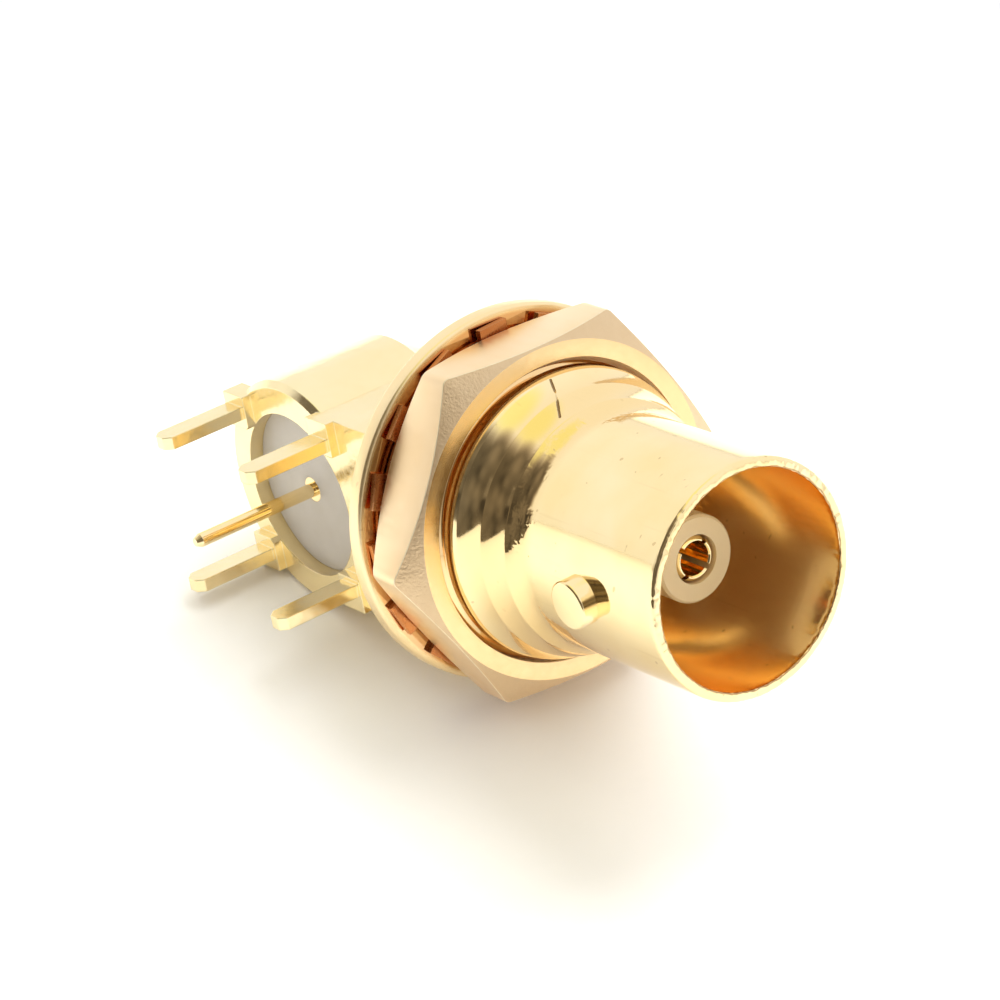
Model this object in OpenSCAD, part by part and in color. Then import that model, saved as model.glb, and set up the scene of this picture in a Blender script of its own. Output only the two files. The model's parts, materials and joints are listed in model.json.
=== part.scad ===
// Right-angle bayonet coaxial jack for a circuit board, with a panel nut.
// The signal pin's axis meets the board at the origin. The legs point down (-Z)
// and the mouth faces -Y. All sizes are in millimetres.

/* [Bayonet tube] */
// Outside diameter of the bayonet tube
tube_d = 9.6; // [9.4:0.1:9.8]
// Bore of the tube
bore_d = 8.2; // [8:0.1:8.4]
// Depth of the bore behind the mouth
bore_depth = 8.9; // [8.2:0.1:9.4]
// Radial width of the lead-in at the mouth
lead_in = 0.3; // [0.1:0.05:0.4]
// Length of the plain tube in front of the shoulder
tube_len = 7.7; // [7.2:0.1:8.2]
// Diameter of a bayonet lug
lug_d = 2; // [1.8:0.05:2.1]
// Distance across the tips of the two lugs
lug_span = 11; // [10.8:0.1:11.2]
// Distance from the mouth to the lugs' axis
lug_back = 4.5; // [4.2:0.1:5.2]

/* [Barrel and flange] */
// Outside diameter of the panel thread
thread_d = 12.7; // [12.5:0.1:13]
// Pitch of the panel thread
thread_pitch = 0.907; // [0.5:0.001:1]
// Distance from the mouth to the front end of the barrel
barrel_front = 10.85; // [10.6:0.05:11.2]
// Distance from the mouth to the front face of the flange
seat_back = 14.8; // [14.6:0.1:15.6]
// Diameter of the flange
flange_d = 15.8; // [15.4:0.1:16.4]
// Thickness of the flange
flange_t = 0.8; // [0.6:0.1:1.2]
// Diameter of the spigot that is pressed into the elbow
spigot_d = 6.8; // [6.2:0.1:7]
// Length of the spigot
spigot_len = 3.1; // [2.6:0.1:3.3]

/* [Nut and washer] */
// Distance across the flats of the nut
nut_af = 14.3; // [14:0.1:14.6]
// Thickness of the nut
nut_h = 2.8; // [2.2:0.1:3]
// Slope of the corner chamfers on the nut
nut_chamfer = 30; // [20:1:35]
// Thickness of the lock washer over its teeth
washer_h = 0.45; // [0.4:0.05:0.6]
// Thickness of the lock washer's sheet
washer_t = 0.25; // [0.2:0.05:0.35]
// Diameter over the tips of the washer's teeth
washer_d = 15; // [14.8:0.1:15.2]
// Number of teeth on the lock washer
washer_teeth = 16; // [12:1:20]
// Share of the washer's rim that its teeth take up
tooth_share = 0.5; // [0.4:0.05:0.6]

/* [Elbow] */
// Height of the connector's axis above the board
axis_h = 5.8; // [5.6:0.1:6.4]
// Distance from the flange's back face to the signal pin
neck_len = 7.5; // [7:0.1:8.2]
// Diameter of the upright cylinder
elbow_d = 10.1; // [9.8:0.1:10.6]
// Diameter of the neck and its ball end
neck_d = 8.9; // [8.7:0.1:9.3]
// Width of the flat-sided web between the cylinder and the flange
web_w = 8.6; // [8.2:0.1:8.8]
// Height of the cylinder's top above the connector's axis
collar_h = 0.6; // [0.3:0.1:1]
// Gap between the board and the cylinder's rim, under which the pads stand
standoff = 0.4; // [0.2:0.1:0.6]
// Bore in the bottom of the elbow
well_d = 7.3; // [7:0.1:7.6]

/* [Legs and pin] */
// Leg spacing across the connector
leg_gap_x = 6.6; // [6.4:0.1:6.8]
// Leg spacing along the connector
leg_gap_y = 6.4; // [6.2:0.1:6.6]
// Thickness of a leg, across the connector
leg_t = 0.55; // [0.5:0.05:0.7]
// Width of a leg, along the connector
leg_w = 1.1; // [0.9:0.05:1.2]
// Length of a leg below the board's surface
leg_len = 3.8; // [3:0.1:4.5]
// Size of the square pad at the root of each leg
pad_w = 1.5; // [1.3:0.1:1.7]
// Height of a pad
pad_h = 1; // [0.8:0.1:1.4]
// Diameter of the signal pin's free end
pin_d = 0.6; // [0.5:0.05:0.8]
// Diameter of the signal pin inside the elbow
pin_root_d = 1.1; // [1:0.05:1.2]
// Length of the signal pin below the board's surface
pin_len = 4.9; // [4:0.1:5.2]

/* [Contact and insulators] */
// Distance from the mouth to the face of the front insulator
nose_recess = 3.35; // [3:0.05:4]
// Diameter of the front insulator's nose
nose_d = 3.55; // [3.3:0.05:3.8]
// Outside diameter of the socket
socket_d = 1.8; // [1.75:0.05:1.9]
// Bore of the socket
socket_bore = 1.36; // [1.3:0.02:1.4]
// Depth of the socket's bore
socket_depth = 5; // [4.5:0.1:5.5]
// Width of the socket's slots
slot_w = 0.22; // [0.18:0.02:0.24]
// Length of the socket's slots
slot_len = 3.6; // [3:0.1:4]
// Diameter of the contact's solid stem
stem_d = 1.3; // [1.2:0.05:1.4]
// Diameter of the dielectric round the stem
core_d = 4.4; // [4.2:0.1:4.6]
// Diameter of the cross-drilled boss on the contact's tail
boss_d = 1.9; // [1.7:0.1:2]
// Depth at which the elbow's insulator lies above the cylinder's rim
well_recess = 0.65; // [0.5:0.05:1]

/* [Hidden] */
$fn = 96;
// Small amount by which a cutting solid runs past the surface it cuts
over = 0.1;
// Radial gap between pieces that are pushed together
fit_gap = 0.01;
// Radial gap between the thread and the nut's bore
run_gap = 0.05;
// Radial gap round the spring fingers of the socket
spring_gap = 0.1;
// Positions along the connector, counted from the signal pin
mouth_y = -neck_len - flange_t - seat_back;
lug_y = mouth_y + lug_back;
bore_end_y = mouth_y + bore_depth;
shoulder_y = mouth_y + tube_len;
barrel_y = mouth_y + barrel_front;
seat_y = mouth_y + seat_back;
flange_back_y = seat_y + flange_t;
spigot_end_y = flange_back_y + spigot_len;
nose_y = mouth_y + nose_recess;
nut_back_y = seat_y - washer_h;
nut_front_y = nut_back_y - nut_h;
// Length over which the barrel's front edge is chamfered, to lead the nut's thread on
barrel_chamfer = 0.4 * thread_pitch;
// The relief groove in front of the flange is nearly as deep as the thread
relief_depth = 0.45 * thread_pitch;
relief_w = 0.55 * thread_pitch;
// Edge breaks on the mouth and on the flange
mouth_round = 0.12;
flange_round = 0.15;
lead_len = 0.9;
// The shoulder is turned in this many shallow concave cuts, with a ridge between two cuts
cuts = 3;
cut_steps = 8;
// Half the angle through which each cut's arc turns; the first cut is tangent to the tube
cut_bend = 14;
// Rise and run of one cut
cut_rise = (thread_d / 2 - barrel_chamfer - tube_d / 2) / cuts;
cut_run = (barrel_y - shoulder_y) / cuts;
// Radial width of the lock washer's ring, how far its teeth reach into it, and their play
washer_rim = 0.55;
tooth_root = 0.2;
bite_gap = 0.01;
// Web of metal between the elbow's bottom bore and the hole for the dielectric
well_web = 0.15;
well_top = axis_h - core_d / 2 - fit_gap - well_web;
well_bottom = standoff + well_recess;
// Upper cavity of the elbow, round the contact's tail
cavity_d = 5;
cavity_top = axis_h + 2.1;
tail_len = 1.1;
pin_top = axis_h + boss_d / 2 + 0.1;
pin_tip = 0.25;
leg_tip = 0.3;
lug_chamfer = 0.12;

// Turns a profile of [radius, distance] round the connector's axis, facing the mouth
module turned(points)
    translate([0, 0, axis_h]) rotate([-90, 0, 0]) rotate_extrude() polygon(points);

// A round bar along the connector's axis between two distances
module bar(d, from, to)
    translate([0, from, axis_h]) rotate([-90, 0, 0]) cylinder(d = d, h = to - from);

// Points of one concave cut of the shoulder, counted from the tube, without its first point
function cut(i) =
    let (slope = atan(cut_rise / cut_run),
         bend = i == 0 ? slope : cut_bend,
         bend_r = norm([cut_rise, cut_run]) / 2 / sin(bend))
    [for (k = [1 : cut_steps]) let (a = slope - bend + 2 * bend * k / cut_steps)
        [tube_d / 2 + i * cut_rise + bend_r * (cos(slope - bend) - cos(a)),
         shoulder_y + i * cut_run + bend_r * (sin(a) - sin(slope - bend))]];

// Tube, shoulder, barrel, flange and spigot, turned from one bar
module front_shell() {
    r_tube = tube_d / 2;
    r_bore = bore_d / 2;
    r_thread = thread_d / 2;
    r_flange = flange_d / 2;
    r_core = core_d / 2 + fit_gap;
    color([0.93, 0.78, 0.45])
    difference() {
        turned(concat(
            [[r_core, spigot_end_y], [r_core, bore_end_y], [r_bore, bore_end_y],
             [r_bore, mouth_y + lead_len], [r_bore + lead_in - mouth_round, mouth_y + mouth_round],
             [r_bore + lead_in, mouth_y], [r_tube - mouth_round, mouth_y],
             [r_tube, mouth_y + mouth_round], [r_tube, shoulder_y]],
            [for (i = [0 : cuts - 1]) each cut(i)],
            [[r_thread, barrel_y + barrel_chamfer],
             [r_thread, seat_y - relief_w], [r_thread - relief_depth, seat_y - relief_w + relief_depth / 2],
             [r_thread - relief_depth, seat_y], [r_flange - flange_round, seat_y],
             [r_flange, seat_y + flange_round], [r_flange, flange_back_y - flange_round],
             [r_flange - flange_round, flange_back_y], [spigot_d / 2, flange_back_y],
             [spigot_d / 2, spigot_end_y]]));
        // The lugs' press holes, right through the tube
        translate([0, lug_y, axis_h - tube_d / 2 - over]) cylinder(d = lug_d, h = tube_d + 2 * over);
    }
}

// One pressed lug, trimmed flush with the tube's bore
module lug(up) {
    color([0.95, 0.8, 0.5])
    difference() {
        translate([0, lug_y, axis_h]) rotate([up ? 0 : 180, 0, 0]) {
            cylinder(d = lug_d, h = lug_span / 2 - lug_chamfer);
            translate([0, 0, lug_span / 2 - lug_chamfer])
                cylinder(d1 = lug_d, d2 = lug_d - 2 * lug_chamfer, h = lug_chamfer);
        }
        bar(bore_d, lug_y - lug_d, lug_y + lug_d);
    }
}

module bayonet_lug_top() lug(true);

module bayonet_lug_bottom() lug(false);

// Panel nut: a hexagon with both ends turned off to a cone, flats facing +X and -X
module hex_nut() {
    r_flat = nut_af / 2;
    r_corner = r_flat / cos(30);
    r_face = r_flat * 0.985;
    drop = (r_corner + over - r_face) * tan(nut_chamfer);
    r_hole = thread_d / 2 + run_gap;
    entry = 0.3;
    color([0.9, 0.72, 0.52])
    difference() {
        intersection() {
            translate([0, nut_front_y, axis_h]) rotate([-90, 30, 0])
                cylinder(r = r_corner, h = nut_h, $fn = 6);
            turned([[0, nut_front_y], [r_face, nut_front_y], [r_corner + over, nut_front_y + drop],
                    [r_corner + over, nut_back_y - drop], [r_face, nut_back_y], [0, nut_back_y]]);
        }
        turned([[0, nut_front_y - over], [r_hole + entry + over, nut_front_y - over],
                [r_hole, nut_front_y + entry], [r_hole, nut_back_y - entry],
                [r_hole + entry + over, nut_back_y + over], [0, nut_back_y + over]]);
    }
}

// Star washer: a flat ring whose outer teeth are twisted until their edges bite on both faces
module lock_washer() {
    mid_y = seat_y - washer_h / 2;
    r_in = thread_d / 2 + run_gap;
    r_ring = r_in + washer_rim;
    r_tip = washer_d / 2;
    tooth_w = 2 * PI * r_tip / washer_teeth * tooth_share;
    twist = asin((washer_h - washer_t - bite_gap) / tooth_w);
    color([0.8, 0.55, 0.3])
    union() {
        difference() {
            bar(2 * r_ring, mid_y - washer_t / 2, mid_y + washer_t / 2);
            bar(2 * r_in, mid_y - washer_h, mid_y + washer_h);
        }
        for (i = [0 : washer_teeth - 1])
            translate([0, mid_y, axis_h]) rotate([0, i * 360 / washer_teeth, 0])
                translate([r_ring - tooth_root, 0, 0]) rotate([twist, 0, 0])
                    translate([0, -washer_t / 2, -tooth_w / 2])
                        cube([r_tip - r_ring + tooth_root, washer_t, tooth_w]);
    }
}

// Square leg with a bevelled tip, standing on the board's upper face
module leg() {
    top = pad_h / 2;
    translate([-leg_t / 2, 0, 0]) rotate([90, 0, 90]) linear_extrude(leg_t)
        polygon([[-leg_w / 2, top], [-leg_w / 2, leg_tip - leg_len], [-leg_w / 2 + leg_tip, -leg_len],
                 [leg_w / 2 - leg_tip, -leg_len], [leg_w / 2, leg_tip - leg_len], [leg_w / 2, top]]);
}

// Right-angle casting: upright cylinder, ball-ended neck, web, pads and legs
module elbow_body() {
    rim_break = 0.25;
    r_elbow = elbow_d / 2;
    collar_z = axis_h + collar_h;
    color([0.96, 0.86, 0.58])
    difference() {
        union() {
            translate([0, 0, standoff]) rotate_extrude()
                polygon([[0, 0], [r_elbow - rim_break, 0], [r_elbow, rim_break],
                         [r_elbow, collar_z - standoff - rim_break],
                         [r_elbow - rim_break, collar_z - standoff], [0, collar_z - standoff]]);
            bar(neck_d, flange_back_y, 0);
            translate([0, 0, axis_h]) sphere(d = neck_d);
            translate([-web_w / 2, flange_back_y, standoff])
                cube([web_w, -flange_back_y - r_elbow / 2, axis_h - standoff]);
            for (x = [-1, 1], y = [-1, 1])
                translate([x * leg_gap_x / 2, y * leg_gap_y / 2, 0])
                    leg();
            // The rear pads stand round their legs, the front ones lie flush with the web
            for (x = [-1, 1]) {
                translate([x * leg_gap_x / 2, leg_gap_y / 2, pad_h / 2])
                    cube([pad_w, pad_w, pad_h], center = true);
                translate([x * (web_w - pad_w) / 2, -leg_gap_y / 2, pad_h / 2])
                    cube([pad_w, pad_w, pad_h], center = true);
            }
        }
        // Bottom bore for the insulator and the cavity round the contact's tail
        translate([0, 0, -over]) cylinder(d = well_d, h = well_top + over);
        cylinder(d = cavity_d, h = cavity_top);
        // Seat of the spigot, and the hole for the dielectric
        bar(spigot_d + 2 * fit_gap, flange_back_y - over, spigot_end_y);
        bar(core_d + 2 * fit_gap, spigot_end_y - over, 0);
    }
}

// Dielectric of the straight part: a slim nose in the tube and a thicker core behind it
module front_insulator() {
    core_end_y = -cavity_d / 2;
    nose_round = 0.1;
    color([0.93, 0.88, 0.76])
    difference() {
        turned([[0, nose_y], [nose_d / 2 - nose_round, nose_y], [nose_d / 2, nose_y + nose_round],
                [nose_d / 2, bore_end_y], [core_d / 2, bore_end_y], [core_d / 2, core_end_y],
                [0, core_end_y]]);
        bar(socket_d + 2 * spring_gap, nose_y - over, nose_y + socket_depth + over);
        bar(stem_d + 2 * fit_gap, nose_y, core_end_y + over);
    }
}

// Dielectric disc in the bottom of the elbow, drilled for the signal pin
module elbow_insulator() {
    color([0.9, 0.88, 0.84])
    difference() {
        translate([0, 0, well_bottom])
            cylinder(d = well_d - 2 * fit_gap, h = well_top - well_bottom);
        translate([0, 0, well_bottom - over]) cylinder(d = pin_root_d + 2 * fit_gap, h = well_top);
    }
}

// Turned socket: four spring fingers in front, a solid stem and a cross-drilled tail
module centre_contact() {
    socket_end_y = nose_y + socket_depth;
    lip = 0.12;
    color([0.95, 0.8, 0.45])
    difference() {
        union() {
            turned([[0, nose_y + lip / 2], [socket_d / 2 - lip, nose_y + lip / 2],
                    [socket_d / 2, nose_y + 1.5 * lip], [socket_d / 2, socket_end_y],
                    [stem_d / 2, socket_end_y], [stem_d / 2, -boss_d / 2], [boss_d / 2, -boss_d / 2],
                    [boss_d / 2, tail_len], [0, tail_len]]);
        }
        turned([[0, nose_y - over], [socket_bore / 2 + lip + over, nose_y - over],
                [socket_bore / 2, nose_y + lip], [socket_bore / 2, socket_end_y - 0.6],
                [0, socket_end_y - 0.6 + socket_bore / 2]]);
        for (a = [45, 135])
            translate([0, nose_y - over, axis_h]) rotate([0, a, 0])
                translate([-slot_w / 2, 0, -socket_d]) cube([slot_w, slot_len + over, 2 * socket_d]);
        translate([0, 0, axis_h - boss_d]) cylinder(d = pin_root_d + 2 * fit_gap, h = 2 * boss_d);
    }
}

// Round pin with a bevelled tip; its thicker root goes up through the contact's tail
module signal_pin() {
    color([0.94, 0.8, 0.48])
    rotate_extrude()
        polygon([[0, -pin_len], [pin_d / 2 - pin_tip / 2, -pin_len], [pin_d / 2, pin_tip - pin_len],
                 [pin_d / 2, well_bottom], [pin_root_d / 2, well_bottom], [pin_root_d / 2, pin_top],
                 [0, pin_top]]);
}

elbow_body();
front_shell();
bayonet_lug_top();
bayonet_lug_bottom();
hex_nut();
lock_washer();
front_insulator();
elbow_insulator();
centre_contact();
signal_pin();
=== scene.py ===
import json
import math

import bmesh
import bpy
from mathutils import Matrix, Vector, noise


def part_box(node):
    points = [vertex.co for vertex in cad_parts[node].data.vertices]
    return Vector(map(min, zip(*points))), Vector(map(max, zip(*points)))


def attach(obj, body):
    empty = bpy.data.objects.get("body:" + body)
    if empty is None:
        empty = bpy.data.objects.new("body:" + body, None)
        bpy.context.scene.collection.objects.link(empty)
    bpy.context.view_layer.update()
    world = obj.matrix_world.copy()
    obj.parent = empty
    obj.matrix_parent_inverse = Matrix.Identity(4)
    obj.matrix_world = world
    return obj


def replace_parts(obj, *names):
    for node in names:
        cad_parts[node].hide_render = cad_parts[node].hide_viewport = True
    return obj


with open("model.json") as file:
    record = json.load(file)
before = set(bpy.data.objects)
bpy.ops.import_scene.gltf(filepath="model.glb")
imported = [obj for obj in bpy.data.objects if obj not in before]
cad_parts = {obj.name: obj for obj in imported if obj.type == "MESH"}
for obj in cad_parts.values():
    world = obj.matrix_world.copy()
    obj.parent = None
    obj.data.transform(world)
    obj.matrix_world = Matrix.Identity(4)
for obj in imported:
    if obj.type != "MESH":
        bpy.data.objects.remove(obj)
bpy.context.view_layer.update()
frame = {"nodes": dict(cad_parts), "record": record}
MM = 0.001
MICRON = 0.000001
MOUNTS = {mount["name"]: Vector(mount["pos_m"]) for mount in frame["record"]["mounts"]}
AXIS_H = MOUNTS["coaxial_interface"].z
# The lamps aim at this place, and the sheet lies under it
MIDDLE = Vector((0, -8, 6)) * MM


def add_object(name, data):
    obj = bpy.data.objects.new(name, data)
    bpy.context.scene.collection.objects.link(obj)
    return obj


# ---------------------------------------------------------------- camera

CAMERA_AZIMUTH = math.radians(-27.007)
CAMERA_ELEVATION = math.radians(-29.504)
CAMERA_ROLL = math.radians(65.018)
CAMERA_AIM = Vector((-4.374, -16.756, -0.568)) * MM
CAMERA_DISTANCE = 0.140
CAMERA_LENS = 133.595


def build_camera():
    """The photograph's viewing angle: from below the mouth, with the jack lying on its side."""
    az, el, roll = CAMERA_AZIMUTH, CAMERA_ELEVATION, CAMERA_ROLL
    back = Vector((math.sin(az) * math.cos(el), -math.cos(az) * math.cos(el), math.sin(el)))
    right = (-back).cross(Vector((0, 0, 1))).normalized()
    up = right.cross(-back)
    side = right * math.cos(roll) + up * math.sin(roll)
    place = Matrix((side, back.cross(side), back)).transposed().to_4x4()
    place.translation = CAMERA_AIM + back * CAMERA_DISTANCE
    data = bpy.data.cameras.new("camera")
    data.lens = CAMERA_LENS
    data.sensor_width = 36
    data.clip_start = 0.001
    data.clip_end = 10
    cam = add_object("camera", data)
    cam.matrix_world = place
    bpy.context.scene.camera = cam
    return cam


camera = build_camera()

# The jack rests on the flange's rim, one rear pad and the drum's side
DOWN = Vector((0.948, 0.319, 0.010)).normalized()
UP = -DOWN
FLOOR_DROP = max(v.co.dot(DOWN) for node in frame["nodes"].values() for v in node.data.vertices)


def floor_axes():
    """Right and away, as the camera sees the floor."""
    look = camera.matrix_world.to_3x3() @ Vector((0, 0, -1))
    away = (look - UP * look.dot(UP)).normalized()
    return away.cross(UP), away


RIGHT, AWAY = floor_axes()


# ---------------------------------------------------------------- node helpers

class Graph:
    """A node tree with short calls: every input takes a value or another node's output."""

    def __init__(self, tree):
        self.tree = tree
        tree.nodes.clear()

    def add(self, kind, inputs=None, **props):
        node = self.tree.nodes.new(kind)
        for key, value in props.items():
            setattr(node, key, value)
        for key, value in (inputs or {}).items():
            self.put(node.inputs[key], value)
        return node

    def put(self, socket, value):
        if isinstance(value, bpy.types.NodeSocket):
            self.tree.links.new(value, socket)
        elif isinstance(value, bpy.types.Node):
            self.tree.links.new(value.outputs[0], socket)
        else:
            socket.default_value = value

    def math(self, operation, a, b=0.0, clamp=False):
        node = self.add("ShaderNodeMath", {0: a, 1: b}, operation=operation, use_clamp=clamp)
        return node.outputs[0]

    def plus(self, a, b):
        return self.math("ADD", a, b)

    def minus(self, a, b):
        return self.math("SUBTRACT", a, b)

    def times(self, a, *factors):
        for factor in factors:
            a = self.math("MULTIPLY", a, factor)
        return a

    def highest(self, values):
        result = values[0]
        for value in values[1:]:
            result = self.math("MAXIMUM", result, value)
        return result

    def vector(self, operation, a, b):
        return self.add("ShaderNodeVectorMath", {0: a, 1: b}, operation=operation).outputs[0]

    def scaled(self, vector, factor):
        node = self.add("ShaderNodeVectorMath", {0: vector, "Scale": factor}, operation="SCALE")
        return node.outputs[0]

    def measure(self, operation, a, b):
        """A dot product or a distance."""
        node = self.add("ShaderNodeVectorMath", {0: a, 1: b}, operation=operation)
        return node.outputs["Value"]

    def dot(self, vector, direction):
        return self.measure("DOT_PRODUCT", vector, direction)

    def ramp(self, value, low, high, out_low=0.0, out_high=1.0, kind="LINEAR"):
        """Ramp from out_low to out_high as value goes from low to high, straight by default."""
        node = self.add("ShaderNodeMapRange", {"Value": value, "From Min": low, "From Max": high,
                                               "To Min": out_low, "To Max": out_high},
                        interpolation_type=kind)
        return node.outputs[0]

    def rise(self, value, low, high, out_low=0.0, out_high=1.0):
        """The same ramp with soft ends."""
        return self.ramp(value, low, high, out_low, out_high, kind="SMOOTHSTEP")

    def fall(self, value, low, high):
        """1 below low, 0 above high."""
        return self.rise(value, low, high, 1.0, 0.0)

    def noise(self, vector, scale, detail=2.0, rough=0.5):
        node = self.add("ShaderNodeTexNoise", {"Vector": vector, "Scale": scale, "Detail": detail,
                                               "Roughness": rough})
        return node.outputs[0]

    def mix(self, factor, a, b):
        node = self.add("ShaderNodeMix", data_type="RGBA")
        self.put(node.inputs["Factor"], factor)
        self.put(node.inputs["A"], a)
        self.put(node.inputs["B"], b)
        return node.outputs["Result"]

    def stain(self, colour, mask, share, target):
        """Moves colour towards target by share where the mask is 1."""
        return self.mix(self.times(mask, share), colour, target)

    def raised(self, value, mask, amount):
        """Adds amount to value where the mask is 1."""
        return self.plus(value, self.times(mask, amount))

    def stretched(self, vector, scale):
        return self.add("ShaderNodeMapping", {"Vector": vector, "Scale": scale}).outputs[0]

    def coordinate(self, name):
        return self.add("ShaderNodeTexCoord").outputs[name]

    def camera_ray(self):
        return self.add("ShaderNodeLightPath").outputs["Is Camera Ray"]

    def surface(self, output, shader):
        self.add(output, {"Surface": shader})


def rgb(r, g, b):
    return (r, g, b, 1.0)


def new_material(name):
    mat = bpy.data.materials.new(name)
    mat.use_nodes = True
    return mat, Graph(mat.node_tree)


# ---------------------------------------------------------------- world and lights

# Places in the studio: azimuth from straight away, elevation, inner and outer radius, in degrees.
# The dark ones are the photographer and the camera, as the gold reflects them.
DARK_PATCHES = [(-120, 34, 24, 42), (-88, 40, 10, 26), (-104, 2, 12, 26), (-136, 12, 18, 34),
                (-160, 44, 12, 28), (-166, 18, 18, 32), (164, 24, 12, 26)]
WARM_PATCHES = [(-40, 66, 6, 26), (-150, 72, 6, 20)]
# The white tent brightens from below the horizon upwards; what stands in the dark is cluttered
TENT_RISE = (-0.40, 0.25)
TENT_LEVELS = (0.92, 1.05)
DARK_LEVELS = (0.06, 0.26)
TENT_WHITE = rgb(1.0, 0.992, 0.98)
WARM_TINT = rgb(1.0, 0.97, 0.50)
DARK_TINT = rgb(1.0, 0.84, 0.66)

# Square soft boxes, in metres; direction is (right, away, up)
LAMPS = {
    "key": dict(direction=(0.35, 0.45, 1.0), distance=0.25, size=0.20, watts=0.55),
    "fill": dict(direction=(-0.7, -0.4, 1.0), distance=0.40, size=0.50, watts=0.85),
}

FLOOR_HALF = 0.6
FLOOR_SQUARES = 24
# How far from its middle, in metres, the camera sees the sheet fade out
FLOOR_FADE = (0.035, 0.060)


def studio_patch(g, toward, places):
    """1 inside the named places of the studio, 0 outside, with soft edges."""
    patches = []
    for place in places:
        azimuth, elevation, inner, outer = (math.radians(angle) for angle in place)
        level = RIGHT * math.sin(azimuth) + AWAY * math.cos(azimuth)
        middle = level * math.cos(elevation) + UP * math.sin(elevation)
        patches.append(g.rise(g.dot(toward, tuple(middle)), math.cos(outer), math.cos(inner)))
    return g.highest(patches)


def build_world():
    """A white tent that the camera sees as pure white, with dark and warm places in it."""
    world = bpy.data.worlds.new("studio")
    bpy.context.scene.world = world
    world.use_nodes = True
    g = Graph(world.node_tree)
    toward = g.coordinate("Generated")
    tent = g.rise(g.dot(toward, tuple(UP)), *TENT_RISE, *TENT_LEVELS)
    dark = studio_patch(g, toward, DARK_PATCHES)
    clutter = g.ramp(g.noise(toward, 3.0, 1.0), 0.3, 0.7, *DARK_LEVELS)
    level = g.plus(g.times(tent, g.minus(1.0, dark)), g.times(dark, clutter))
    tint = g.mix(studio_patch(g, toward, WARM_PATCHES), TENT_WHITE, WARM_TINT)
    tint = g.mix(dark, tint, DARK_TINT)
    studio = g.add("ShaderNodeBackground", {"Color": tint, "Strength": level})
    white = g.add("ShaderNodeBackground", {"Color": rgb(1, 1, 1), "Strength": 1.0})
    g.surface("ShaderNodeOutputWorld",
              g.add("ShaderNodeMixShader", {0: g.camera_ray(), 1: studio, 2: white}))


def add_lamp(name, direction, distance, size, watts):
    """A soft box that lights the jack and isn't mirrored in it."""
    data = bpy.data.lights.new(name, "AREA")
    data.energy = watts
    data.shape = "SQUARE"
    data.size = size
    lamp = add_object(name, data)
    way = RIGHT * direction[0] + AWAY * direction[1] + UP * direction[2]
    back = way.normalized()
    turn = back.to_track_quat("Z", "Y").to_matrix().to_4x4()
    lamp.matrix_world = Matrix.Translation(MIDDLE + back * distance) @ turn
    lamp.visible_glossy = False


def floor_paper(centre):
    """White paper, seen from above only, which runs out softly into the white background."""
    mat, g = new_material("floor_paper")
    place = g.coordinate("Object")
    colour = g.mix(g.noise(place, 900.0, 3.0), rgb(0.93, 0.925, 0.915), rgb(0.96, 0.955, 0.95))
    paper = g.add("ShaderNodeBsdfPrincipled", {"Base Color": colour, "Roughness": 0.9})
    through = g.add("ShaderNodeBsdfTransparent")
    behind = g.add("ShaderNodeNewGeometry").outputs["Backfacing"]
    far = g.measure("DISTANCE", place, tuple(centre))
    faded = g.times(g.rise(far, *FLOOR_FADE), g.camera_ray())
    g.surface("ShaderNodeOutputMaterial",
              g.add("ShaderNodeMixShader", {0: g.highest([behind, faded]), 1: paper, 2: through}))
    return mat


def build_floor():
    centre = MIDDLE + DOWN * (FLOOR_DROP - MIDDLE.dot(DOWN))
    steps = [FLOOR_HALF * (2 * i / FLOOR_SQUARES - 1) for i in range(FLOOR_SQUARES + 1)]
    points = [centre + RIGHT * x + AWAY * y for y in steps for x in steps]
    count = len(steps)
    faces = [(k, k + 1, k + count + 1, k + count)
             for k in range(count * (count - 1)) if k % count < count - 1]
    mesh = bpy.data.meshes.new("floor")
    mesh.from_pydata(points, [], faces)
    mesh.materials.append(floor_paper(centre))
    floor = add_object("floor", mesh)


build_world()
build_floor()
for lamp_name, setting in LAMPS.items():
    add_lamp(lamp_name, **setting)


# ---------------------------------------------------------------- dimensions, in millimetres

# Columns of quads round a turned piece
COLUMNS = 360
# Lengths below this count as nothing
SMALL = 1e-6
PITCH = 0.907
THREAD_DEPTH = 0.5
shell_low, shell_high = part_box("front_shell")
MOUTH = shell_low.y / MM
FLANGE_R = shell_high.x / MM
SPIGOT_END = shell_high.y / MM
# Radii of the shell and places along its axis, the same as in part.scad
TUBE_R, BORE_R, CORE_R, SPIGOT_R = 4.8, 4.1, 2.21, 3.4
THREAD_R = 6.35
BORE_END = MOUTH + 8.9
SHOULDER = MOUTH + 7.7
BARREL = MOUTH + 10.85
SEAT = MOUTH + 14.8
FLANGE_BACK = SEAT + 0.8
CHAMFER = 0.4 * PITCH
RELIEF = 0.45 * PITCH
RELIEF_W = 0.55 * PITCH
# The bore opens by the lip's width over the flare's length, up to the mouth
LIP = 0.3
FLARE = 3.4
# Concave cuts of the shoulder, half the angle each turns through, and the rounding between them
CUTS = 3
CUT_STEPS = 8
CUT_BEND = math.radians(10)
RIDGE_ROUND = 0.11
# The first turn is cut down to a plain land and grows to its full height inside the nut
LAND_R = 6.04
LAND_FROM = BARREL + 0.2
LAND_TO = LAND_FROM + 0.5
THREAD_FROM = LAND_TO + 0.45
THREAD_TO = SEAT - RELIEF_W
TURN_ROWS = 14
# How far the nicks reach from the mouth, and how deep they are across and along the rim
NICKS_TO = 0.25
NICK_ACROSS = 0.022
NICK_ALONG = 0.026

LUG_Y = MOUTH + 4.5
LUG_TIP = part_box("bayonet_lug_top")[1].z / MM - AXIS_H / MM
LUG_R = 1.0
LUG_COLUMNS = 96

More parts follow.
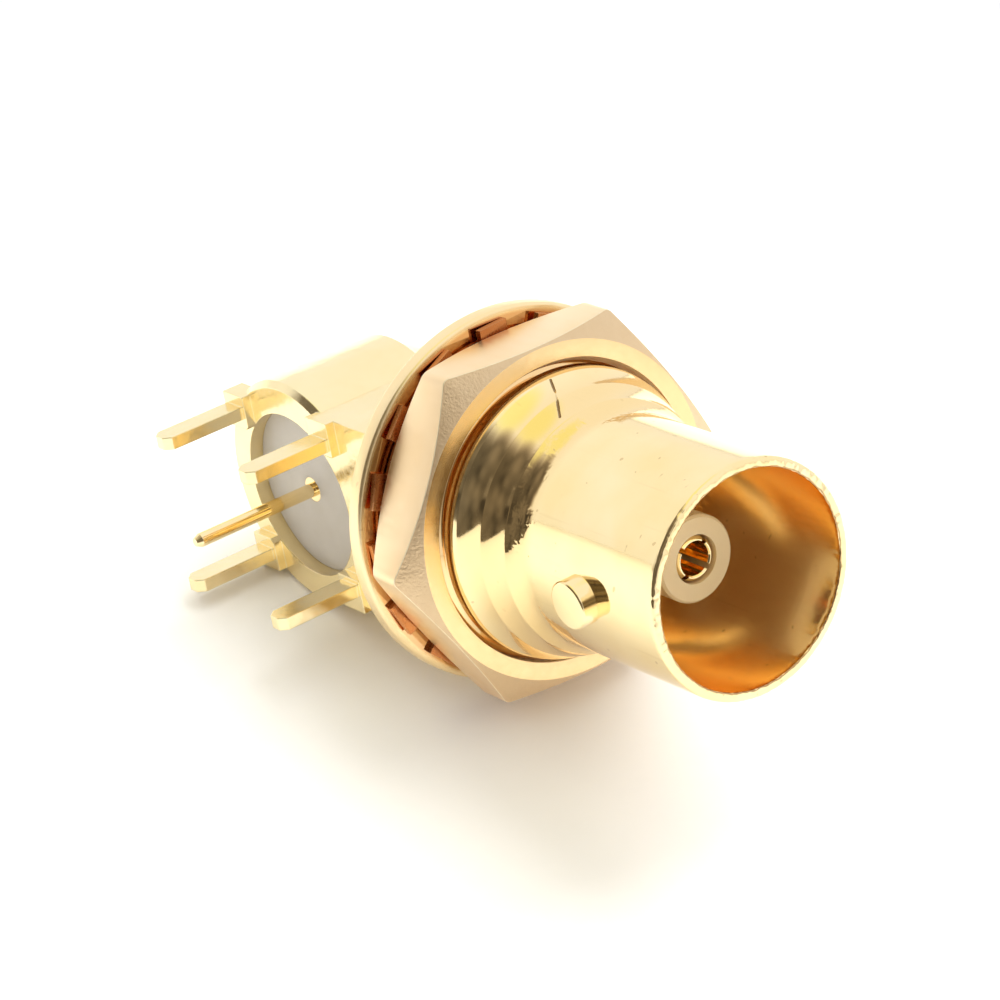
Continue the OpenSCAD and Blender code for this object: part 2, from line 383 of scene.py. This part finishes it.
nut_low, nut_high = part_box("hex_nut")
NUT_FRONT, NUT_BACK = nut_low.y / MM, nut_high.y / MM
NUT_FLAT = nut_high.x / MM
NUT_FACE = 0.985 * NUT_FLAT
NUT_CORNER = NUT_FLAT / math.cos(math.pi / 6) - 0.05
NUT_CHAMFER = math.tan(math.radians(30))
NUT_HOLE = THREAD_R + 0.05
NUT_CREST = LAND_R + 0.04
NUT_MOUTH = NUT_CREST + 0.22
NUT_ROWS = 40
# Slope of the nut's entry, and the depth over which its thread grows
NUT_ENTRY_SLOPE = 1.2
NUT_RUN_IN = 0.4

# The scratch on the shoulder, as places at (radius, distance, angle in degrees)
SCRATCH = [(5.98, -12.3, 181.5), (5.62, -12.95, 185.0), (5.52, -13.4, 188.0), (5.3, -14.0, 193.0)]


# ---------------------------------------------------------------- shape helpers

def clamped(value):
    return min(1.0, max(0.0, value))


def smooth(value):
    value = clamped(value)
    return value * value * (3 - 2 * value)


def fillet(points, steps, closed=False):
    """Rounds the corners of a polyline of (radius, distance, corner radius), in millimetres."""
    result = []
    count = len(points)
    for i, (x, y, corner) in enumerate(points):
        here = Vector((x, y))
        if corner <= 0 or (not closed and i in (0, count - 1)):
            result.append((x, y))
            continue
        before, after = Vector(points[i - 1][:2]), Vector(points[(i + 1) % count][:2])
        a, b = before - here, after - here
        room = 0.45 * min(a.length, b.length)
        a.normalize()
        b.normalize()
        half = math.acos(max(-1, min(1, a.dot(b)))) / 2
        if half > math.radians(89.5) or room < SMALL:
            # Every ring needs as many points, so a straight or crowded corner repeats its own
            result.extend([(x, y)] * (steps + 1))
            continue
        cut = min(room, corner / math.tan(half))
        centre = here + (a + b).normalized() * (cut / math.cos(half))
        start, end = here + a * cut - centre, here + b * cut - centre
        first = math.atan2(start.y, start.x)
        turn = (math.atan2(end.y, end.x) - first + math.pi) % (2 * math.pi) - math.pi
        for k in range(steps + 1):
            angle = first + turn * k / steps
            result.append((centre.x + start.length * math.cos(angle),
                           centre.y + start.length * math.sin(angle)))
    return result


def turns(count):
    """The angles of count even steps round an axis."""
    return [2 * math.pi * i / count for i in range(count)]


def round_axis(r, y, t):
    """Place at radius r and distance y, turned by t round the connector's axis."""
    return Vector((r * math.cos(t) * MM, y * MM, AXIS_H + r * math.sin(t) * MM))


def skin(name, rows, body, material, closed=False):
    """Quads between rows of points, each a ring; closed joins the last row to the first."""
    count = len(rows[0])
    faces = []
    for j in range(len(rows) if closed else len(rows) - 1):
        k = (j + 1) % len(rows)
        for i in range(count):
            n = (i + 1) % count
            faces.append((j * count + i, j * count + n, k * count + n, k * count + i))
    mesh = bpy.data.meshes.new(name)
    mesh.from_pydata([point for row in rows for point in row], [], faces)
    bm = bmesh.new()
    bm.from_mesh(mesh)
    bmesh.ops.remove_doubles(bm, verts=bm.verts, dist=0.002 * MM)
    bmesh.ops.recalc_face_normals(bm, faces=bm.faces)
    bm.to_mesh(mesh)
    bm.free()
    mesh.shade_smooth()
    mesh.materials.append(material)
    obj = add_object(name, mesh)
    obj.modifiers.new("even", "WEIGHTED_NORMAL").weight = 100
    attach(obj, body)
    return obj


def thread_wave(y, t):
    """0 on the thread's crest, 1 at its root; a right-hand helix that runs towards the mouth."""
    phase = (-y / PITCH - t / (2 * math.pi)) % 1.0
    return abs(2 * phase - 1)


# ---------------------------------------------------------------- materials

# Rays for each corner that a shader rounds and each crevice that it looks for
SHADER_RAYS = 6


def metal(name, pale, deep, rough, spread, bump, grain, edge=0.0, stretch=None, extra=None,
          shade_reach=0.0, brushed=None):
    """Gold plate whose colour drifts between pale and deep, with a fine grain.

    rough varies by spread, edge rounds the corners, shade_reach is how far into a gap the painted
    shade reaches, extra(g, place, colour, roughness, height) adds wear, and on the shell painted
    shade and a painted reflection, and brushed(g) masks turned faces.
    """
    mat, g = new_material(name)
    place = g.coordinate("Object")
    colour = g.mix(g.ramp(g.noise(place, 260.0, 3.0), 0.35, 0.65), pale, deep)
    # Painted shade: the colour turns to a dull red-brown where the AO node finds the surface
    # hemmed in, in gaps and crevices
    if shade_reach:
        crevice = g.add("ShaderNodeAmbientOcclusion", {"Distance": shade_reach}, samples=SHADER_RAYS)
        shade_share = g.rise(crevice.outputs["AO"], 0.10, 0.70, 0.8, 0.0)
        colour = g.mix(shade_share, colour, rgb(0.86, 0.50, 0.22))
    fine = g.noise(g.stretched(place, stretch) if stretch else place, grain, 4.0, 0.6)
    roughness = g.ramp(fine, 0.3, 0.7, rough - spread, rough + spread)
    height = g.times(fine, bump)
    if extra:
        colour, roughness, height = extra(g, place, colour, roughness, height)
    relief = g.add("ShaderNodeBump", {"Strength": 1.0, "Distance": 1.0, "Height": height})
    if edge:
        rounded = g.add("ShaderNodeBevel", {"Radius": edge}, samples=SHADER_RAYS)
        g.put(relief.inputs["Normal"], rounded)
    shader = g.add("ShaderNodeBsdfPrincipled", {"Base Color": colour, "Metallic": 1.0,
                                                "Roughness": roughness, "Normal": relief})
    if brushed:
        # Turned end faces spread a reflection outwards, across their circular marks
        g.put(shader.inputs["Anisotropic"], g.times(brushed(g), 0.95))
        g.put(shader.inputs["Anisotropic Rotation"], 0.25)
        g.put(shader.inputs["Tangent"],
              g.add("ShaderNodeTangent", direction_type="RADIAL", axis="Y"))
    g.surface("ShaderNodeOutputMaterial", shader)
    return mat


def plastic(name, pale, deep):
    """PTFE: dull, with a faint drift of colour, a turned grain and some light inside it."""
    mat, g = new_material(name)
    place = g.coordinate("Object")
    colour = g.mix(g.ramp(g.noise(place, 500.0, 3.0), 0.3, 0.7), pale, deep)
    grain = g.noise(place, 6000.0, 3.0)
    relief = g.add("ShaderNodeBump", {"Strength": 1.0, "Distance": 4 * MICRON, "Height": grain})
    shader = g.add("ShaderNodeBsdfPrincipled", {"Base Color": colour, "Roughness": 0.5,
                                                "IOR": 1.36, "Subsurface Weight": 0.25,
                                                "Subsurface Scale": 0.4 * MM,
                                                "Subsurface Radius": (1.0, 0.95, 0.85),
                                                "Normal": relief})
    g.surface("ShaderNodeOutputMaterial", shader)
    return mat


def leaning(g):
    """How far a face leans towards the connector's axis: 1 where it is square to it."""
    return g.math("ABSOLUTE", g.dot(g.coordinate("Normal"), (0.0, 1.0, 0.0)))


def end_face(g):
    """1 on faces square to the connector's axis."""
    return g.rise(leaning(g), 0.93, 0.97)


def axis_radius(g, place):
    """Distance from the connector's axis, and the distance along it, in millimetres."""
    parts = g.add("ShaderNodeSeparateXYZ", {0: place}).outputs
    x = g.times(parts["X"], 1 / MM)
    z = g.times(g.minus(parts["Z"], AXIS_H), 1 / MM)
    r = g.math("SQRT", g.plus(g.times(x, x), g.times(z, z)))
    return r, g.times(parts["Y"], 1 / MM)


def near_line(g, place, start, end, inner, outer):
    """1 within inner of the straight line from start to end, 0 beyond outer, in metres."""
    span = end - start
    away = g.vector("SUBTRACT", place, tuple(start))
    share = g.math("DIVIDE", g.dot(away, tuple(span)), span.length_squared, clamp=True)
    return g.fall(g.measure("DISTANCE", away, g.scaled(tuple(span), share)), inner, outer)


def scratch_mask(g, place):
    """1 in the scratch, whose line wavers a little."""
    wobble = g.add("ShaderNodeTexNoise", {"Vector": place, "Scale": 2500.0}).outputs["Color"]
    shift = g.scaled(g.vector("SUBTRACT", wobble, (0.5, 0.5, 0.5)), 0.04 * MM)
    moved = g.vector("ADD", place, shift)
    spots = [round_axis(r, y, math.radians(angle)) for r, y, angle in SCRATCH]
    return g.highest([near_line(g, moved, start, end, 0.02 * MM, 0.07 * MM)
                      for start, end in zip(spots, spots[1:])])


def shell_wear_and_painted_light(g, place, colour, roughness, height):
    """The turned shell's wear, with a painted shade and a painted reflection, from the bore out
    to the flange.
    """
    r, y = axis_radius(g, place)
    # Turning marks and a deeper gold in the bore
    bore = g.times(g.fall(r, BORE_R + 0.15, BORE_R + 0.35),
                   g.fall(y, BORE_END - 0.4, BORE_END - 0.1))
    marks = g.noise(g.stretched(place, (0.04, 1.0, 0.04)), 9000.0, 3.0)
    height = g.raised(height, g.times(marks, bore), 1.6 * MICRON)
    colour = g.mix(bore, colour, rgb(0.98, 0.78, 0.49))
    roughness = g.raised(roughness, bore, 0.16)
    # Faint lines drawn along the tube, and a few specks in the plating
    lines = g.noise(g.stretched(place, (1.0, 0.03, 1.0)), 3500.0, 3.0, 0.6)
    tube = g.fall(y, SHOULDER - 0.2, SHOULDER + 0.2)
    height = g.raised(height, g.times(lines, tube), 2 * MICRON)
    colour = g.stain(colour, g.rise(lines, 0.60, 0.74), 0.16, rgb(0.70, 0.50, 0.24))
    specks = g.rise(g.noise(place, 3200.0, 0.0), 0.80, 0.84)
    colour = g.stain(colour, specks, 0.5, rgb(0.55, 0.36, 0.16))
    # Small blisters where the shoulder's curve runs out into the tube
    first_cut = g.times(g.rise(y, SHOULDER - 0.5, SHOULDER + 0.2),
                        g.fall(y, SHOULDER + 0.8, SHOULDER + 1.3))
    blister = g.rise(g.noise(place, 3600.0, 1.0), 0.36, 0.72)
    patchy = g.rise(g.noise(place, 900.0, 1.0), 0.35, 0.60)
    height = g.raised(height, g.times(blister, patchy, first_cut), 6.5 * MICRON)
    # Painted reflection: deeper gold where the shoulder and the tube mirror each other
    painted_reflection = g.times(g.rise(y, SHOULDER - 0.3, SHOULDER + 0.4),
                     g.fall(y, SHOULDER + 1.8, SHOULDER + 3.4),
                     g.rise(r, BORE_R + 0.4, BORE_R + 0.5))
    colour = g.stain(colour, painted_reflection, 0.75, rgb(0.93, 0.70, 0.36))
    # The flange's rim is duller than the turned front
    rim = g.times(g.rise(r, FLANGE_R - 0.35, FLANGE_R - 0.17), g.rise(y, SEAT - 0.2, SEAT - 0.1))
    roughness = g.raised(roughness, rim, 0.24)
    colour = g.stain(colour, rim, 0.5, rgb(0.97, 0.76, 0.46))
    # Painted shade: the crevice in front of the flange is darkened to a deep red-brown
    crevice = g.times(g.rise(y, SEAT - 0.35, SEAT - 0.1), g.fall(y, SEAT + 0.05, SEAT + 0.12),
                      g.fall(r, FLANGE_R - 0.35, FLANGE_R - 0.2))
    colour = g.stain(colour, crevice, 0.75, rgb(0.74, 0.40, 0.18))
    # A ragged brown line inside the rim
    ragged = g.times(g.minus(g.noise(place, 3000.0, 2.0), 0.5), 0.16)
    off_line = g.math("ABSOLUTE", g.minus(g.plus(r, ragged), BORE_R + 0.33))
    line = g.times(g.fall(off_line, 0.02, 0.05), g.fall(y, MOUTH + 0.05, MOUTH + 0.12))
    colour = g.stain(colour, line, 0.75, rgb(0.34, 0.18, 0.07))
    scratch = scratch_mask(g, place)
    height = g.raised(height, scratch, -40 * MICRON)
    colour = g.stain(colour, scratch, 0.92, rgb(0.22, 0.12, 0.05))
    roughness = g.raised(roughness, scratch, 0.3)
    return colour, roughness, height


def nut_finish(g, place, colour, roughness, height):
    """Duller edges, coarse chamfers and turned rings on the end faces."""
    r, _ = axis_radius(g, place)
    lean = leaning(g)
    face = end_face(g)
    chamfer = g.times(g.rise(lean, 0.70, 0.80), g.minus(1.0, face))
    edge = g.times(g.rise(lean, 0.06, 0.16), g.fall(lean, 0.66, 0.80))
    roughness = g.raised(roughness, edge, 0.30)
    colour = g.mix(edge, colour, rgb(1.0, 0.90, 0.70))
    # Both noises are centred on 0, so that the edge of a mask makes no step in the height
    outwards = g.add("ShaderNodeCombineXYZ", {0: r}).outputs[0]
    rings = g.minus(g.noise(outwards, 14.0, 4.0, 0.7), 0.5)
    height = g.raised(height, g.times(rings, face), 1.5 * MICRON)
    coarse = g.minus(g.noise(place, 9000.0, 2.0), 0.5)
    height = g.raised(height, g.times(coarse, chamfer), 22 * MICRON)
    roughness = g.raised(g.raised(roughness, face, -0.12), chamfer, 0.12)
    colour = g.stain(colour, chamfer, 0.8, rgb(0.72, 0.54, 0.34))
    colour = g.stain(colour, face, 0.9, rgb(0.92, 0.66, 0.34))
    return colour, roughness, height


def elbow_finish(g, place, colour, roughness, height):
    """Plating that lies bumpily over the casting."""
    return colour, roughness, g.raised(height, g.noise(place, 700.0, 2.0), 40 * MICRON)


TURNED = dict(pale=rgb(1.0, 0.83, 0.50), deep=rgb(0.98, 0.77, 0.40), spread=0.03, grain=5000.0)
METALS = {
    "gold_cast": dict(pale=rgb(0.98, 0.84, 0.52), deep=rgb(0.96, 0.80, 0.46), rough=0.20,
                      spread=0.07, bump=3.5 * MICRON, grain=2600.0, edge=0.07 * MM,
                      extra=elbow_finish),
    "gold_turned": dict(TURNED, rough=0.08, bump=1 * MICRON, edge=0.03 * MM),
    # The nut's satin gold has painted shade in its gaps
    "gold_satin": dict(pale=rgb(1.0, 0.79, 0.52), deep=rgb(0.97, 0.72, 0.42), rough=0.34,
                       spread=0.05, bump=4 * MICRON, grain=3000.0, stretch=(1.0, 0.15, 1.0),
                       extra=nut_finish, shade_reach=0.4 * MM, brushed=end_face),
    # Painted shade: gold_dark is darkened to a deep red-brown for the lock washer, which sits in
    # the shaded gap between nut and flange
    "gold_dark": dict(pale=rgb(0.74, 0.36, 0.16), deep=rgb(0.50, 0.20, 0.08), rough=0.28,
                      spread=0.06, bump=4 * MICRON, grain=3000.0, edge=0.03 * MM),
}
LOOKS = {name: metal(name, **recipe) for name, recipe in METALS.items()}
LOOKS["ptfe_cream"] = plastic("ptfe_cream", rgb(0.90, 0.71, 0.43), rgb(0.86, 0.66, 0.38))
# Painted shade: ptfe_white is given a grey, darker than white PTFE, for the shade inside the
# elbow where it sits
LOOKS["ptfe_white"] = plastic("ptfe_white", rgb(0.64, 0.60, 0.55), rgb(0.59, 0.55, 0.49))
# The shell's gold has painted shade in its gaps and a painted reflection on the shoulder
SHELL_LOOK = metal("gold_turned_shell", **TURNED, rough=0.07, bump=0.6 * MICRON,
                   extra=shell_wear_and_painted_light, shade_reach=0.7 * MM)

for node in frame["nodes"].values():
    for slot in node.material_slots:
        slot.material = LOOKS[slot.material.name.split(".")[0]]


# ---------------------------------------------------------------- turned shell with its thread

def cut_points(i):
    """One concave cut of the shoulder; the first runs out flush into the tube."""
    rise = (THREAD_R - CHAMFER - TUBE_R) / CUTS
    run = (BARREL - SHOULDER) / CUTS
    slope = math.atan(rise / run)
    bend = slope if i == 0 else CUT_BEND
    arc_r = math.hypot(rise, run) / 2 / math.sin(bend)
    first = slope - bend
    points = []
    for k in range(1, CUT_STEPS + 1):
        a = first + 2 * bend * k / CUT_STEPS
        points.append((TUBE_R + i * rise + arc_r * (math.cos(first) - math.cos(a)),
                       SHOULDER + i * run + arc_r * (math.sin(a) - math.sin(first)),
                       RIDGE_ROUND if k == CUT_STEPS else 0))
    return points


def shell_profile():
    """The shell's half section, out from the bore round the mouth to the spigot."""
    def flared(depth):
        return BORE_R + LIP * (1 - depth / FLARE)

    profile = [(CORE_R, SPIGOT_END, 0.02), (CORE_R, BORE_END, 0), (BORE_R, BORE_END, 0.05),
               (BORE_R, MOUTH + FLARE, 24), (flared(0.6), MOUTH + 0.6, 0),
               (flared(0.3), MOUTH + 0.3, 0), (BORE_R + LIP, MOUTH, 0.05), (TUBE_R, MOUTH, 0.16)]
    # Short quads near the mouth, so that its nicks don't bend the long ones behind
    profile += [(TUBE_R, MOUTH + depth, 0) for depth in (0.35, 0.7, 2.0, 4.5)]
    profile.append((TUBE_R, SHOULDER, 0))
    for i in range(CUTS):
        profile += cut_points(i)
    profile.append((LAND_R, LAND_FROM, 0.2))
    step = PITCH / TURN_ROWS
    y = LAND_TO
    while y < THREAD_TO - step / 2:
        grown = smooth((y - LAND_TO - 0.05) / (THREAD_FROM - LAND_TO))
        profile.append((LAND_R + (THREAD_R - LAND_R) * grown, y, 0))
        y += step
    profile += [(THREAD_R, THREAD_TO, 0), (THREAD_R - RELIEF, THREAD_TO + RELIEF / 2, 0),
                (THREAD_R - RELIEF, SEAT, 0.03), (FLANGE_R, SEAT, 0.14),
                (FLANGE_R, FLANGE_BACK, 0.14), (SPIGOT_R, FLANGE_BACK, 0.03),
                (SPIGOT_R, SPIGOT_END, 0.03)]
    return fillet(profile, 5, closed=True)


def shell_place(r, y, t):
    """A point of the section turned to angle t, with the thread cut in and the rim nicked."""
    if r > LAND_R - SMALL and LAND_TO < y < THREAD_TO:
        ease = smooth((y - LAND_TO) / 0.25) * smooth((THREAD_TO - y) / 0.3)
        r -= THREAD_DEPTH * clamped((thread_wave(y, t) - 0.125) / 0.625) * ease
    rim = smooth((MOUTH + NICKS_TO - y) / NICKS_TO)
    if rim > 0 and r < THREAD_R:
        spot = Vector((math.cos(t), math.sin(t), 0.07 * r))
        nick = noise.noise(spot * 20) * 0.6 + noise.noise(spot * 48) * 0.4
        r += NICK_ACROSS * nick * rim
        push = noise.noise(spot * 31 + Vector((3, 5, 7))) + 0.6
        y = max(MOUTH, y + NICK_ALONG * rim * push)
    return round_axis(r, y, t)


shell_rows = [[shell_place(r, y, t) for t in turns(COLUMNS)] for r, y in shell_profile()]
shell = skin("turned_shell", shell_rows, "jack", SHELL_LOOK, closed=True)
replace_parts(shell, "front_shell")


# ---------------------------------------------------------------- pressed lugs

def build_lug(name, up):
    """A round lug with a broken edge, which widens a little where it enters the tube's wall."""
    profile = fillet([(0.004, LUG_TIP, 0), (LUG_R, LUG_TIP, 0.11), (LUG_R, TUBE_R - 0.08, 0),
                      (LUG_R + 0.06, TUBE_R - 0.3, 0)], 5)
    rows = [[Vector((r * math.cos(t) * MM, (LUG_Y + r * math.sin(t)) * MM, AXIS_H + up * h * MM))
             for t in turns(LUG_COLUMNS)] for r, h in profile]
    return skin(name, rows, "jack", LOOKS["gold_turned"])


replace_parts(build_lug("lug_near_top", 1), "bayonet_lug_top")
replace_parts(build_lug("lug_near_bottom", -1), "bayonet_lug_bottom")


# ---------------------------------------------------------------- panel nut

def nut_ring(t):
    """The nut's closed profile in the half plane at angle t."""
    sector = (t + math.pi / 6) % (math.pi / 3) - math.pi / 6
    reach = min(NUT_FLAT / math.cos(sector), NUT_CORNER)
    drop = (reach - NUT_FACE) * NUT_CHAMFER
    points = [(NUT_MOUTH, NUT_FRONT, 0.03), (NUT_FACE, NUT_FRONT, 0.05),
              (reach, NUT_FRONT + drop, 0.06), (reach, NUT_BACK - drop, 0.06),
              (NUT_FACE, NUT_BACK, 0.05), (NUT_MOUTH, NUT_BACK, 0.03)]
    for k in range(1, NUT_ROWS):
        y = NUT_BACK + (NUT_FRONT - NUT_BACK) * k / NUT_ROWS
        crest = (NUT_HOLE - NUT_CREST) * clamped((thread_wave(y, t) - 0.25) / 0.6)
        end = min(y - NUT_FRONT, NUT_BACK - y)
        inner = NUT_MOUTH + (NUT_HOLE - crest - NUT_MOUTH) * smooth(end / NUT_RUN_IN)
        points.append((max(inner, NUT_MOUTH - NUT_ENTRY_SLOPE * end), y, 0))
    return fillet(points, 4, closed=True)


nut_columns = [[round_axis(r, y, t) for r, y in nut_ring(t)] for t in turns(COLUMNS)]
nut = skin("panel_nut", [list(row) for row in zip(*nut_columns)], "nut",
           LOOKS["gold_satin"], closed=True)
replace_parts(nut, "hex_nut")

bpy.context.scene.view_settings.view_transform = "Standard"
# Light runs many times between the walls of the gilded bore
bpy.context.scene.cycles.glossy_bounces = 12
